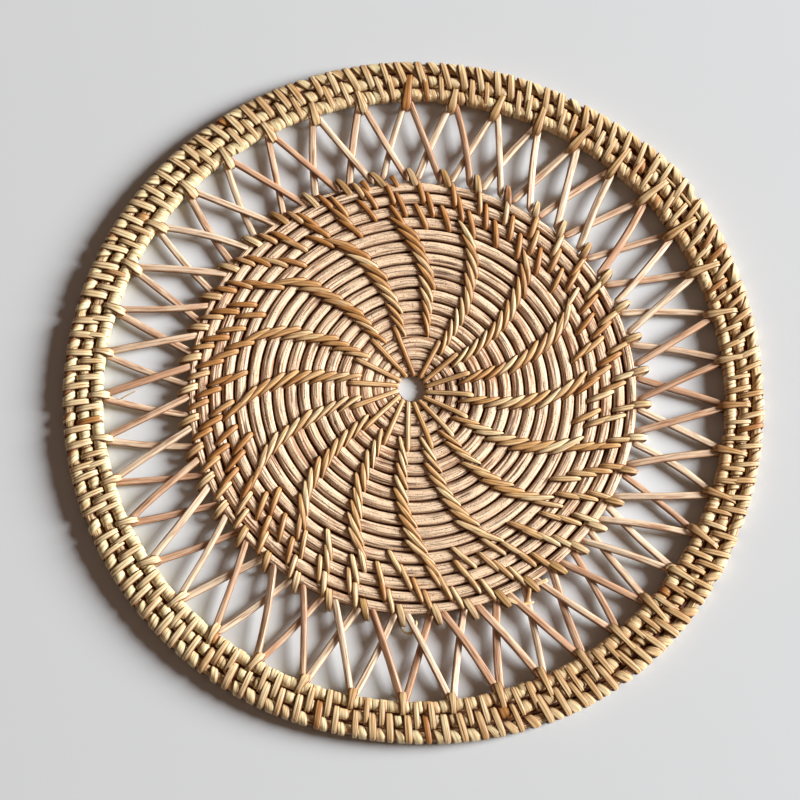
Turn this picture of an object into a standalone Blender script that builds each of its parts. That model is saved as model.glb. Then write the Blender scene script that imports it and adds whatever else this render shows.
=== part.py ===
"""A round openwork cane placemat, 300 mm across.

Metres, +Z up, the origin under the middle of the mat on the surface that it lies on. A flat spiral of
reed bound by sixteen curved arms of stitches is the disc, three bound rounds of reed are the rim, and
crossing cane strands hold the two together.
"""
import math

import bmesh
import bpy
from mathutils import Matrix, Vector

MM = 0.001
TURN = 2 * math.pi

# The rim's three rounds
RIM_INNER = 131.65 * MM
RIM_OUTER = 150.0 * MM
RIM_HEIGHT = 6.5 * MM
RIM_ROUNDS = 3
RIM_GROOVE = 1.4 * MM
RIM_FLAT = 0.8 * MM
RIM_COLUMNS = 72
COIL_CENTRE = (0.65 * MM, -0.27 * MM)
OUTLINE_SWELLS = (
    # at degrees, spread in degrees, outwards
    (40.0, 7.5, 2.7 * MM),
    (5.0, 11.0, -1.2 * MM),
    (262.0, 12.0, -0.9 * MM),
    (302.0, 15.0, 1.7 * MM),
    (343.0, 10.0, -0.9 * MM),
)

# The disc's seventeen rounds and its sixteen arms
HOLE_RADIUS = 5.9 * MM
HOLE_CENTRE = (-2.6 * MM, 1.1 * MM)
DISC_RADIUS = 97.3 * MM
DISC_THICK = 5.0 * MM
DISC_ROUNDS = 17
DISC_GROOVE = 1.1 * MM
ARMS = 16
ARM_COLUMNS = 3
ARM_RAISE = 0.8 * MM
ARM_HALF_WIDTH = 3.6 * MM
ARM_END = 84.0 * MM
ARM_START_ANGLE = math.radians(52.0)
ARM_SWEEP = math.radians(0.0035) / MM**2

# The lattice between them
NODES = 42
FIRST_NODE = math.radians(82.2)
NODE_DRIFT = (
    # waves a turn, size in degrees, angle of the first crest in degrees
    (1, 1.91, 225.0),
    (2, 0.70, 126.0),
    (3, 1.23, 36.0),
)
NODE_DRIFT_MEAN = math.radians(2.73)
STRAND_WIDTH = 2.4 * MM
STRAND_THICK = 1.4 * MM
OVER_HEIGHT = 3.7 * MM
UNDER_HEIGHT = 2.5 * MM
GAP = 0.3 * MM
RIM_LOOP = (3.6 * MM, 4.0 * MM, 3.4 * MM)
DISC_LOOP = (3.6 * MM, 6.4 * MM, 3.2 * MM)
LOOP_HEIGHT = 3.1 * MM
LOOP_NARROWING = 0.75
RIM_STRAND_SPREAD = math.radians(0.5)
DISC_STRAND_SPREAD = math.radians(1.2)


def clear_scene():
    for thing in list(bpy.data.objects):
        bpy.data.objects.remove(thing, do_unlink=True)


def new_collection(name):
    collection = bpy.data.collections.new(name)
    bpy.context.scene.collection.children.link(collection)
    return collection


def cane(name, colour, roughness):
    material = bpy.data.materials.new(name)
    material.use_nodes = True
    shader = material.node_tree.nodes["Principled BSDF"]
    shader.inputs["Base Color"].default_value = (*colour, 1.0)
    shader.inputs["Roughness"].default_value = roughness
    shader.inputs["Metallic"].default_value = 0.0
    return material


def add_object(name, mesh, collection, material):
    thing = bpy.data.objects.new(name, mesh)
    collection.objects.link(thing)
    mesh.materials.clear()
    mesh.materials.append(material)
    return thing


def polar(angle, radius, height=0.0, centre=(0.0, 0.0)):
    return Vector((centre[0] + radius * math.cos(angle), centre[1] + radius * math.sin(angle), height))


def angle_between(angle, other):
    return (angle - other + math.pi) % TURN - math.pi


def smooth_step(value, start, end):
    share = min(1.0, max(0.0, (value - start) / (end - start)))
    return share * share * (3 - 2 * share)


def turned_mesh(name, profile, columns):
    """The closed ring that the profile, a loop of (radius, height), sweeps about +Z."""
    mesh = bpy.data.meshes.new(name + "_profile")
    shape = bmesh.new()
    corners = [shape.verts.new((radius, 0.0, height)) for radius, height in profile]
    for start, end in zip(corners, corners[1:] + corners[:1]):
        shape.edges.new((start, end))
    shape.to_mesh(mesh)
    shape.free()
    outline = bpy.data.objects.new(name + "_profile", mesh)
    bpy.context.scene.collection.objects.link(outline)
    screw = outline.modifiers.new("turn", "SCREW")
    screw.steps = columns
    screw.render_steps = columns
    screw.use_merge_vertices = True
    screw.merge_threshold = 0.00001
    depsgraph = bpy.context.evaluated_depsgraph_get()
    turned = bpy.data.meshes.new_from_object(outline.evaluated_get(depsgraph))
    bpy.data.objects.remove(outline, do_unlink=True)
    turned.name = name
    return turned


def rim_profile():
    """Three rounds side by side, crested on top and flat where they touch the surface."""
    pitch = (RIM_OUTER - RIM_INNER) / RIM_ROUNDS
    shoulder = pitch / 6
    middles = [RIM_OUTER - (number + 0.5) * pitch for number in range(RIM_ROUNDS)]
    top = [(RIM_OUTER - shoulder / 2, RIM_HEIGHT - RIM_GROOVE)]
    for middle in middles:
        top.append((middle, RIM_HEIGHT))
        top.append((middle - pitch / 2, RIM_HEIGHT - RIM_GROOVE))
    top[-1] = (RIM_INNER + shoulder / 2, RIM_HEIGHT - RIM_GROOVE)
    bottom = [(RIM_INNER + shoulder / 2, RIM_GROOVE)]
    for middle in reversed(middles):
        bottom.append((middle - RIM_FLAT, 0.0))
        bottom.append((middle + RIM_FLAT, 0.0))
        bottom.append((middle + pitch / 2, RIM_GROOVE))
    bottom[-1] = (RIM_OUTER - shoulder / 2, RIM_GROOVE)
    inner = [(RIM_INNER, RIM_HEIGHT / 2)]
    outer = [(RIM_OUTER, RIM_HEIGHT / 2)]
    return list(reversed(bottom)) + inner + list(reversed(top)) + outer


def outline_swell(angle):
    total = 0.0
    for at, spread, outwards in OUTLINE_SWELLS:
        away = math.degrees(angle_between(angle, math.radians(at)))
        total += outwards * math.exp(-((away / spread) ** 2) / 2)
    return total


def make_rim(collection, material):
    mesh = turned_mesh("rim_coil", rim_profile(), RIM_COLUMNS)
    for corner in mesh.vertices:
        angle = math.atan2(corner.co.y, corner.co.x)
        radius = math.hypot(corner.co.x, corner.co.y)
        share = (radius - RIM_INNER) / (RIM_OUTER - RIM_INNER)
        corner.co = polar(angle, radius + share * outline_swell(angle), corner.co.z, COIL_CENTRE)
    return add_object("rim_coil", mesh, collection, material)


def disc_profile():
    """Seventeen ribs on both faces, from the hole out to the edge."""
    pitch = (DISC_RADIUS - HOLE_RADIUS) / DISC_ROUNDS
    ribs = [(HOLE_RADIUS, DISC_THICK - DISC_GROOVE)]
    for number in range(DISC_ROUNDS):
        ribs.append((HOLE_RADIUS + (number + 0.5) * pitch, DISC_THICK))
        ribs.append((HOLE_RADIUS + (number + 1) * pitch, DISC_THICK - DISC_GROOVE))
    underside = [(radius, DISC_THICK - height) for radius, height in ribs]
    return ribs + list(reversed(underside))


def arm_angle(radius):
    return ARM_START_ANGLE + ARM_SWEEP * radius**2


def arm_half_angle(radius):
    """Half the angle that an arm takes up, which widens to the even spacing past the arms' ends."""
    even = TURN / ARMS / ARM_COLUMNS
    return min(even, ARM_HALF_WIDTH / radius + even * smooth_step(radius, 0.9 * ARM_END, DISC_RADIUS))


def make_disc(collection, material):
    columns = ARMS * ARM_COLUMNS
    mesh = turned_mesh("disc_coil", disc_profile(), columns)
    for corner in mesh.vertices:
        radius = math.hypot(corner.co.x, corner.co.y)
        column = round(math.atan2(corner.co.y, corner.co.x) / TURN * columns)
        arm = round(column / ARM_COLUMNS)
        side = column - arm * ARM_COLUMNS
        angle = arm * TURN / ARMS + side * arm_half_angle(radius) + arm_angle(radius)
        height = corner.co.z
        if side == 0 and height > DISC_THICK / 2:
            height += ARM_RAISE * (1 - smooth_step(radius, 0.9 * ARM_END, DISC_RADIUS))
        inwards = 1 - smooth_step(radius, HOLE_RADIUS, DISC_RADIUS)
        centre = [offset * inwards for offset in HOLE_CENTRE]
        corner.co = polar(angle, radius, height, centre)
    return add_object("disc_coil", mesh, collection, material)


def node_angle(number):
    even = FIRST_NODE - number * TURN / NODES
    drift = NODE_DRIFT_MEAN
    for waves, size, crest in NODE_DRIFT:
        drift += math.radians(size) * math.cos(waves * (even - math.radians(crest)))
    return even + drift


def add_rod(shape, start, end, width, thick, narrowing=1.0):
    """A six-sided rod between two points, its wider section lying flat."""
    along = end - start
    across = Vector((0, 0, 1)).cross(along).normalized()
    upright = along.normalized().cross(across)
    frame = Matrix((across, upright, along.normalized())).transposed().to_4x4()
    place = Matrix.Translation((start + end) / 2) @ frame
    flat_to_flat = thick / (2 * math.sin(math.pi / 3))
    size = Matrix.Diagonal((width / 2, flat_to_flat, along.length, 1.0))
    bmesh.ops.create_cone(
        shape, cap_ends=True, segments=6, radius1=1.0, radius2=narrowing, depth=1.0, matrix=place @ size
    )


def rods_object(name, collection, rods):
    shape = bmesh.new()
    for rod in rods:
        add_rod(shape, *rod)
    bmesh.ops.recalc_face_normals(shape, faces=shape.faces)
    mesh = bpy.data.meshes.new(name)
    shape.to_mesh(mesh)
    shape.free()
    thing = bpy.data.objects.new(name, mesh)
    collection.objects.link(thing)
    return thing


def strand_rods(height, rim_step, disc_step):
    """One family of strands, each from a rim loop to the disc loop beside its own."""
    reach = GAP + 1.2 * MM
    side = disc_step - rim_step
    for number in range(NODES):
        rim_angle = node_angle(number + rim_step) - side * RIM_STRAND_SPREAD
        disc_angle = node_angle(number + disc_step) + side * DISC_STRAND_SPREAD
        start = polar(rim_angle, RIM_INNER - reach, height, COIL_CENTRE)
        end = polar(disc_angle, DISC_RADIUS + reach, height)
        yield start, end, STRAND_WIDTH, STRAND_THICK


def loop_rods():
    """The loops of binding that tie each pair of strands to the rim and to the disc."""
    rim_length, rim_width, rim_thick = RIM_LOOP
    disc_length, disc_width, disc_thick = DISC_LOOP
    rim_end = RIM_INNER * math.cos(math.pi / RIM_COLUMNS) - GAP
    disc_end = DISC_RADIUS + GAP
    for number in range(NODES):
        angle = node_angle(number)
        outer = polar(angle, rim_end, LOOP_HEIGHT, COIL_CENTRE)
        inner = polar(angle, rim_end - rim_length, LOOP_HEIGHT, COIL_CENTRE)
        yield outer, inner, rim_width, rim_thick, LOOP_NARROWING
        yield (
            polar(angle, disc_end, LOOP_HEIGHT),
            polar(angle, disc_end + disc_length, LOOP_HEIGHT),
            disc_width,
            disc_thick,
            LOOP_NARROWING,
        )


def make_lattice(collection, cutters, material):
    over = rods_object("over_strands", cutters, strand_rods(OVER_HEIGHT, 0, 1))
    under = rods_object("under_strands", cutters, strand_rods(UNDER_HEIGHT, 1, 0))
    loops = rods_object("loops", cutters, loop_rods())
    lattice = add_object("lattice_strands", over.data.copy(), collection, material)
    for other in (under, loops):
        join = lattice.modifiers.new("join_" + other.name, "BOOLEAN")
        join.operation = "UNION"
        join.solver = "EXACT"
        join.object = other
    for helper in (over, under, loops):
        helper.hide_render = True
        helper.display_type = "WIRE"
    return lattice


def main():
    clear_scene()
    placemat = new_collection("cane_placemat")
    cutters = new_collection("joined_shapes")
    reed = cane("reed_core", (0.62, 0.40, 0.24), 0.6)
    binding = cane("binding_cane", (0.66, 0.47, 0.22), 0.5)
    strand = cane("lattice_cane", (0.66, 0.44, 0.28), 0.55)
    make_disc(placemat, reed)
    make_lattice(placemat, cutters, strand)
    make_rim(placemat, binding)


main()
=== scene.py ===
"""A round openwork cane placemat, dressed over its plain solids.

Every run of reed and cane is a rolled grid laid along its own path: the disc's spiral, its sixteen arms
of stitches, the crossing lattice, and the bound rim. Angles turn anticlockwise from +X, seen from above.
"""
import math
from functools import partial

import bmesh
import bpy
import numpy as np
from bpy.props import FloatProperty, FloatVectorProperty, IntProperty, PointerProperty
from mathutils import Matrix, Vector


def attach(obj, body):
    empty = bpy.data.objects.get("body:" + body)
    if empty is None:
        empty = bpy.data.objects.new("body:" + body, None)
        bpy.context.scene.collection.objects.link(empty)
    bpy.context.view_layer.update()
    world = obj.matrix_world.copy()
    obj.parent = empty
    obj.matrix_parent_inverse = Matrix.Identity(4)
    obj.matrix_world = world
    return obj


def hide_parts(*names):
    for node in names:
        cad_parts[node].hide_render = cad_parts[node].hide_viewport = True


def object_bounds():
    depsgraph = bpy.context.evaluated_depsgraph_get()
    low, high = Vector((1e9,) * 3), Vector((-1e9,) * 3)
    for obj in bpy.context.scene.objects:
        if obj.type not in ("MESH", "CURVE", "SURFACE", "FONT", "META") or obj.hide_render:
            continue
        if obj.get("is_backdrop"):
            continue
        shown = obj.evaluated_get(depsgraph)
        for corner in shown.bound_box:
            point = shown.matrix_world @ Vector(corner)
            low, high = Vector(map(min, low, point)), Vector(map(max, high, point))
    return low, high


bl_info = {
    "name": "Cane Placemat",
    "version": (1, 0, 0),
    "blender": (4, 5, 0),
    "location": "View3D > Sidebar > Placemat",
    "description": "Weaves a round openwork placemat of coiled reed and split cane",
    "category": "Add Mesh",
}

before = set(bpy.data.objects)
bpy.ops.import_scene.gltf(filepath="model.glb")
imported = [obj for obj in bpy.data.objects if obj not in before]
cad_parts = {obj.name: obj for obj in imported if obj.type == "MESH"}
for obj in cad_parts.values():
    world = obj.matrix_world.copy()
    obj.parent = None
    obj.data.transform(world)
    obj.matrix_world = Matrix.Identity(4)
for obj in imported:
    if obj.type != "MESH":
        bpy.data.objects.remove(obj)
SOLID_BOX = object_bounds()

MM = 0.001
TURN = 2 * math.pi
UP = np.array([0.0, 0.0, 1.0])

# steps round a stitch, a loop and a long first stitch, and along a strand and a loose end
STITCH_STEPS = 14
LOOP_STEPS = 18
FIRST_STEPS = 24
STRAND_STEPS = 18
END_STEPS = 14

# steps round the rim's reed and its strands of painted crease shade, and in a turn of the disc's strand of
# painted crease shade
RIM_STEPS = 480
RIM_CREASE_SHADE_STEPS = 360
CREASE_SHADE_STEPS = 90

# longest step along the disc's reed, and fewest steps in a round of it
REED_STEP = 3.2 * MM
FEWEST_STEPS = 56.0

# from one rise or fall of a reed's fibres to the next
FIBRE_RUN = 9 * MM

# how square a stitch stands: 1 is a round arch, less is squarer
ARCH = 0.55

# half height of a disc stitch over the reed's middle, and half thickness of its cane
STITCH_REACH = 2.62 * MM
STITCH_THICK = 0.6 * MM

# the arm straight above the hole, which has no long first stitch
BARE_ARM = 3

# shares of a turn past the spiral's start between which the arms fill the first close row's place
ARM_FILLED = (0.5, 0.72)

# rounds in from the outermost, lean in degrees, and how much riper than that side of the disc
CLOSE_ROW = (3, 5.2, 0.0)
CLOSER_ROW = (2, 4.0, 0.1)
LOOP_ROW = (1, 2.8, 0.2)
OUTERMOST_ROW = (0, 2.1, -0.1)

# how much narrower the rim's stitches and short turns are at their ends, and how deep their groove is
STITCH_SHAPE = (0.25, 0.4)
WRAP_SHAPE = (0.05, 0.15)


def length(name, description, millimetres):
    return FloatProperty(name=name, description=description, default=millimetres * MM, unit="LENGTH",
                         subtype="DISTANCE", precision=5)


def turn(name, description, degrees):
    return FloatProperty(name=name, description=description, default=math.radians(degrees), unit="ROTATION",
                         subtype="ANGLE")


def colour(name, description, shade):
    return FloatVectorProperty(name=name, description=description, default=shade, subtype="COLOR", size=3,
                               min=0.0, max=1.0)


class DiscSizes(bpy.types.PropertyGroup):
    hole: length("Hole", "Radius of the hole", 5.9)
    first_round: length("First round", "Radius from which the rounds are counted", 5.0)
    hole_x: length("Hole X", "How far the hole is off centre", -1.1)
    hole_y: length("Hole Y", "How far the hole is off centre", 1.1)
    even_from: length("Even from", "Radius past which the rounds run true to the mat's centre", 36.0)
    edge: length("Edge", "Outer radius of the disc", 96.6)
    pitch: length("Pitch", "From one round to the next", 5.4)
    turns: FloatProperty(name="Turns", description="Turns of the spiral", default=17.5)
    start: turn("Start", "Where each round starts", 280.0)
    reed_width: length("Reed width", "Half width of the reed", 2.48)
    reed_height: length("Reed height", "Half height of the reed", 2.15)
    middle: length("Middle", "Height of the reed's middle over the table", 2.8)
    thin: FloatProperty(name="Thin", description="Share of its height left at the hole", default=0.5)
    arms: IntProperty(name="Arms", description="Arms of stitches", default=16)
    first_arm: turn("First arm", "Where one of the arms starts", 17.0)
    arm_curl: turn("Arm curl", "How far an arm has turned at its end", 14.0)
    arm_from: length("Arm from", "Radius at which the arms start to turn", 28.0)
    arm_run: length("Arm run", "Radial length over which they turn", 50.0)
    arm_lean: turn("Arm lean", "How far a stitch of an arm leans", 9.5)
    first_row: FloatProperty(name="First row", description="Turn at which the stitching starts", default=3.56)
    last_row: FloatProperty(name="Last row", description="Turn at which the arms end", default=13.75)
    close: IntProperty(name="Close", description="Stitches in the first close row past the arms", default=33)
    closer: IntProperty(name="Closer", description="Stitches in the second close row", default=44)


class LatticeSizes(bpy.types.PropertyGroup):
    nodes: IntProperty(name="Nodes", description="Loops at the rim, and as many at the disc", default=42)
    first: turn("First", "Where the first loop is", 82.2)
    drift: turn("Drift", "How far the loops lie ahead of even spacing", 2.73)
    strand_width: length("Strand width", "Half width of a strand", 1.6)
    strand_thick: length("Strand thick", "Half thickness of a strand", 0.8)
    over: length("Over", "Height of the upper strand at a crossing", 4.35)
    under: length("Under", "Height of the lower strand at a crossing", 2.75)


class RimSizes(bpy.types.PropertyGroup):
    inner: length("Inner", "Inner radius of the rim", 131.65)
    outer: length("Outer", "Outer radius of the rim", 150.0)
    centre_x: length("Centre X", "How far the rim's centre is off the mat's", 0.65)
    centre_y: length("Centre Y", "How far the rim's centre is off the mat's", -0.27)
    inner_shift: length("Inner shift", "How far out the inner edge lies, away from the light", 1.1)
    middle: length("Middle", "Height of the rounds' middle over the table", 3.25)
    core_width: length("Core width", "Half width of the reed inside", 2.15)
    core_height: length("Core height", "Half height of the reed inside", 2.1)
    stitches: IntProperty(name="Stitches", description="Long stitches in the outer row", default=114)
    wraps: IntProperty(name="Wraps", description="Short turns of cane round the inner round", default=270)


class CaneColours(bpy.types.PropertyGroup):
    reed_light: colour("Reed light", "Palest tone of the disc's reed", (0.95, 0.71, 0.48))
    reed_tan: colour("Reed tan", "Plain tan of the reed", (0.74, 0.46, 0.28))
    # brown is also the first colour of the painted shade down the sides of reed and cane
    brown: colour("Brown", "Streaks along the reed, and the cane's sides", (0.33, 0.14, 0.055))
    # painted shade: the red brown of the dark strands laid in the creases between the rounds, and of the
    # painted shade down the rust turns' sides
    seam: colour("Seam", "Red brown between the rounds", (0.15, 0.042, 0.01))
    # crease is the colour of fine dark lines and pores, and of the painted shade down the sides of reed and
    # cane
    crease: colour("Crease", "Dark red brown in the creases", (0.065, 0.014, 0.003))
    gold: colour("Gold", "Binding cane of the disc", (0.69, 0.405, 0.16))
    rim_gold: colour("Rim gold", "Binding cane of the rim", (0.67, 0.43, 0.19))
    tie: colour("Tie", "Binding of the lattice at the disc", (0.50, 0.31, 0.11))
    straw: colour("Straw", "Palest binding cane", (0.90, 0.72, 0.42))
    ripe: colour("Ripe", "Ripened binding cane", (0.46, 0.205, 0.055))
    rust: colour("Rust", "Red brown turns in one part of the rim", (0.42, 0.13, 0.03))
    rim_light: colour("Rim light", "Palest of the rim's short turns", (0.90, 0.77, 0.45))
    rim_tan: colour("Rim tan", "Plain tone of the rim's short turns", (0.80, 0.57, 0.30))
    strand: colour("Strand", "Lattice strands", (0.65, 0.385, 0.235))
    strand_light: colour("Strand light", "Palest of the lattice strands", (0.91, 0.72, 0.51))
    floor: colour("Floor", "The surface under the mat", (0.615, 0.647, 0.67))
    fill: colour("Fill", "Light from all round", (1.0, 0.64, 0.46))


class StageSizes(bpy.types.PropertyGroup):
    distance: length("Distance", "From the camera to the point that it looks at", 975.0)
    tilt: turn("Tilt", "Of the camera from straight down", 14.2)
    azimuth: turn("Azimuth", "Side of the mat that the camera is on", -93.59)
    aim_x: length("Aim X", "Where the camera looks", -5.97)
    aim_y: length("Aim Y", "Where the camera looks", -3.28)
    lens: FloatProperty(name="Lens", description="Focal length in millimetres", default=102.65)
    light_azimuth: turn("Light azimuth", "Side that the light comes from", 8.0)
    light_height: turn("Light height", "Of the light over the table", 22.5)
    light_distance: length("Light distance", "From the mat to the light", 7000.0)
    light_size: length("Light size", "Across the light", 3200.0)
    light_power: FloatProperty(name="Light power", description="Watts", default=1290.0)
    fill: FloatProperty(name="Fill", description="Strength of the light from all round", default=0.14)
    floor: length("Floor", "Across the floor", 6000.0)


# waves a turn, size in degrees, angle of the first crest in degrees
NODE_DRIFT = ((1, 1.91, 225.0), (2, 0.70, 126.0), (3, 1.23, 36.0))

# at degrees, spread in degrees, outwards in millimetres
OUTLINE_SWELLS = (
    (40.0, 7.5, 2.7),
    (5.0, 11.0, -1.2),
    (262.0, 12.0, -0.9),
    (302.0, 15.0, 1.7),
    (343.0, 10.0, -0.9),
)

# row, at degrees, spread in degrees, how ripe
RIPE_SPOTS = (
    ("rust_wraps", 173.0, 24.0, 1.0),
    ("inner_row", 88.0, 1.4, 0.9),
    ("inner_row", 186.7, 1.4, 0.9),
    ("rim_loops", 91.7, 2.0, 1.0),
)

# half height, half width and lean of each row's stitches: millimetres, and a share of the rim's lean
RIM_ROWS = {
    "outer_row": (3.2, 1.34, 1.0),
    "inner_row": (3.15, 1.14, 0.7),
    "outer_wraps": (2.6, 1.7, 1.5),
    "rust_wraps": (2.8, 0.6, 1.5),
    "middle_wraps": (2.5, 1.9, 0.6),
    "inner_wraps": (2.6, 1.75, 0.5),
}

# half width and ripeness, then degrees, radius and height in millimetres from end to end
LOOSE_ENDS = (
    (1.1, 0.3, (304.5, 98.8, 3.6), (302.0, 98.0, 4.2), (299.5, 97.3, 4.0)),
    (0.9, 0.2, (293.0, 96.5, 4.6), (295.5, 101.5, 4.2), (299.0, 103.5, 2.9)),
    (1.0, 0.5, (296.0, 104.0, 2.5), (298.5, 100.0, 4.4), (300.0, 95.5, 5.2)),
    (0.7, 0.2, (270.5, 98.5, 4.4), (269.2, 104.0, 3.4), (266.6, 101.5, 2.4)),
    (0.5, 0.0, (325.2, 134.0, 6.0), (324.5, 130.4, 5.6), (323.6, 130.8, 4.8), (323.0, 133.2, 5.0)),
    (1.1, 0.1, (45.0, 148.8, 4.2), (41.5, 151.0, 3.8), (38.3, 152.0, 2.8)),
    (0.35, 0.2, (44.0, 150.0, 5.4), (40.5, 151.8, 5.0), (36.8, 151.2, 3.6)),
    (0.7, 0.1, (14.0, 145.9, 5.2), (22.0, 146.6, 5.4), (30.0, 147.0, 5.1)),
    (0.8, 0.3, (27.0, 145.8, 5.0), (36.0, 146.3, 5.4), (44.0, 145.6, 5.0)),
    (0.25, 0.3, (182.0, 125.0, 3.6), (181.2, 121.5, 4.6), (180.4, 118.0, 4.9)),
    (1.3, 1.0, (95.9, 97.0, 4.2), (95.1, 94.3, 5.4), (94.3, 91.2, 4.8)),
    (1.5, 0.9, (103.8, 96.8, 4.4), (103.0, 94.2, 5.4), (102.2, 91.2, 4.9)),
)


def smooth_step(value, start, end):
    share = np.clip((value - start) / (end - start), 0.0, 1.0)
    return share * share * (3 - 2 * share)


def bell(past, spread):
    """One at nought, and next to nothing past twice the spread."""
    return np.exp(-((past / spread) ** 2))


def degrees_past(angle, at):
    """How far an angle lies past a direction in degrees, from -180 to 180."""
    return (np.degrees(angle) - at + 180.0) % 360.0 - 180.0


def facing(angle, at):
    """One where an angle points in a direction in degrees, nought where it points away from it."""
    return 0.5 + 0.5 * np.cos(angle - math.radians(at))


def around(angle, radius, height, centre=(0.0, 0.0)):
    angle, radius, height = np.broadcast_arrays(angle, radius, height)
    x = centre[0] + radius * np.cos(angle)
    y = centre[1] + radius * np.sin(angle)
    return np.stack([x, y, height], axis=-1)


def unit(vectors):
    return vectors / np.maximum(np.linalg.norm(vectors, axis=-1, keepdims=True), 1e-12)


class Strand:
    """A run of reed or cane: the line down its middle, the way its face looks, and its half sizes.

    relief is how deep the grooves between its fibres are.
    """

    def __init__(self, line, face, width, thick, shade=0.5, ripe=0.0, start=0.0, relief=0.0):
        count = len(line)
        self.line = line
        self.width = np.broadcast_to(width, count)
        self.thick = np.broadcast_to(thick, count)
        self.shade = shade
        self.ripe = ripe
        self.relief = relief
        ahead = np.gradient(line, axis=0)
        if np.allclose(line[0], line[-1]):
            ahead[0] = ahead[-1] = line[1] - line[-2]
        along = unit(ahead)
        face = np.broadcast_to(face, line.shape)
        self.face = unit(face - along * np.sum(face * along, axis=1, keepdims=True))
        self.across = np.cross(along, self.face)
        steps = np.linalg.norm(np.diff(line, axis=0), axis=1)
        self.run = start + np.concatenate([[0.0], np.cumsum(steps)])


def reed_section(top, under):
    """A reed's section, seam underneath: shares of the half width and half height, and of the way round."""
    low, high = math.radians(-15.0), math.radians(195.0)
    turns = np.concatenate([
        np.linspace(-math.pi / 2, low, under, endpoint=False),
        np.linspace(low, high, top, endpoint=False),
        np.linspace(high, 1.5 * math.pi, under + 1),
    ])
    across = np.sign(np.cos(turns)) * np.abs(np.cos(turns)) ** 0.92
    rise = np.sign(np.sin(turns)) * np.abs(np.sin(turns)) ** 0.76
    return across, rise, (turns + math.pi / 2) / TURN


# how far round a split cane each corner of its section is, from the middle of its underside
CANE_SHARES = np.array([0.12, 0.25, 0.4, 0.5, 0.6, 0.75, 0.88, 1.12])


def split_section(groove):
    """Two canes side by side: flat underneath, a groove down the middle of the face."""
    across = np.array([0.85, 1.0, 0.55, 0.0, -0.55, -1.0, -0.85, 0.85])
    rise = np.array([-0.5, 0.1, 0.95, 0.95 - groove, 0.95, 0.1, -0.5, -0.5])
    return across, rise, CANE_SHARES


def leaf_section():
    """A split cane whose face rises to a ridge along its middle."""
    across = np.array([0.8, 1.0, 0.5, 0.0, -0.5, -1.0, -0.8, 0.8])
    rise = np.array([-0.5, -0.1, 0.72, 1.0, 0.72, -0.1, -0.5, -0.5])
    return across, rise, CANE_SHARES


def strand_section():
    """A split strip: flat on top, with sloping sides."""
    across = np.array([0.0, 0.85, 1.0, 0.75, 0.6, 0.0, -0.6, -0.75, -1.0, -0.85, 0.0])
    rise = np.array([-1.0, -1.0, -0.5, 0.8, 0.95, 1.0, 0.95, 0.8, -0.5, -1.0, -1.0])
    share = np.array([0.0, 0.12, 0.22, 0.37, 0.41, 0.5, 0.59, 0.63, 0.78, 0.88, 1.0])
    return across, rise, share


def rolled_grid(steps, sides):
    shape = bmesh.new()
    shape.loops.layers.uv.new("lay")
    bmesh.ops.create_grid(shape, x_segments=steps, y_segments=sides, size=1.0)
    mesh = bpy.data.meshes.new("grid")
    shape.to_mesh(mesh)
    shape.free()
    flat = np.empty(len(mesh.vertices) * 3)
    mesh.vertices.foreach_get("co", flat)
    flat = flat.reshape(-1, 3)
    station = np.rint((flat[:, 0] + 1) / 2 * steps).astype(int)
    corner = np.rint((flat[:, 1] + 1) / 2 * sides).astype(int)
    return mesh, station, corner


def fibre_heights(random, run, corners):
    """How high each lengthwise fibre of a strand stands at each station, from -1 to 1."""
    knots = np.arange(run[0], run[-1] + 2 * FIBRE_RUN, FIBRE_RUN)
    heights = random.uniform(-1.0, 1.0, (len(knots), corners))
    heights = 0.7 * (heights + np.roll(heights, 1, axis=1))
    heights[:, -1] = heights[:, 0]
    columns = [np.interp(run, knots, heights[:, corner]) for corner in range(corners)]
    return np.stack(columns, axis=1)


def weave(name, strands, section):
    """One mesh of many like strands, each a copy of the same rolled grid bent along its line."""
    random = np.random.default_rng(len(name))
    steps = len(strands[0].line) - 1
    across, rise, share = section
    grid, station, corner = rolled_grid(steps, len(across) - 1)
    shape = bmesh.new()
    for strand in strands:
        shape.from_mesh(grid)
    mesh = bpy.data.meshes.new(name)
    shape.to_mesh(mesh)
    shape.free()
    bpy.data.meshes.remove(grid)
    places, lays, fibres = [], [], []
    for strand in strands:
        out = strand.across[station] * (across[corner] * strand.width[station])[:, None]
        lift = strand.face[station] * (rise[corner] * strand.thick[station])[:, None]
        fibre = fibre_heights(random, strand.run, len(across))[station, corner]
        groove = strand.relief * np.minimum(fibre - 0.2, 0.0) * (strand.width[station] > 0.5 * MM)
        place = strand.line[station] + out + lift + unit(out + lift) * groove[:, None]
        place[:, 2] = np.maximum(place[:, 2], 0.0)
        places.append(place)
        lays.append(np.stack([strand.run[station] * 100, share[corner]], axis=1))
        fibres.append(fibre)
    mesh.vertices.foreach_set("co", np.concatenate(places).ravel())
    owners = np.empty(len(mesh.loops), dtype=np.int32)
    mesh.loops.foreach_get("vertex_index", owners)
    mesh.uv_layers["lay"].data.foreach_set("uv", np.concatenate(lays)[owners].ravel())
    values = {label: np.concatenate([np.broadcast_to(getattr(strand, label), steps + 1)[station]
                                     for strand in strands])
              for label in ("shade", "ripe")}
    values["fibre"] = np.concatenate(fibres)
    for label, numbers in values.items():
        layer = mesh.attributes.new(label, "FLOAT", "POINT")
        layer.data.foreach_set("value", numbers.astype(np.float32))
    closed = bmesh.new()
    closed.from_mesh(mesh)
    bmesh.ops.remove_doubles(closed, verts=closed.verts, dist=1e-7)
    bmesh.ops.recalc_face_normals(closed, faces=closed.faces)
    closed.to_mesh(mesh)
    closed.free()
    mesh.shade_smooth()
    piece = bpy.data.objects.new(name, mesh)
    bpy.context.scene.collection.objects.link(piece)
    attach(piece, "root")
    return piece


def finish_piece(piece, material, node=None):
    piece.data.materials.clear()
    piece.data.materials.append(material)
    if node:
        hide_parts(node)


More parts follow.
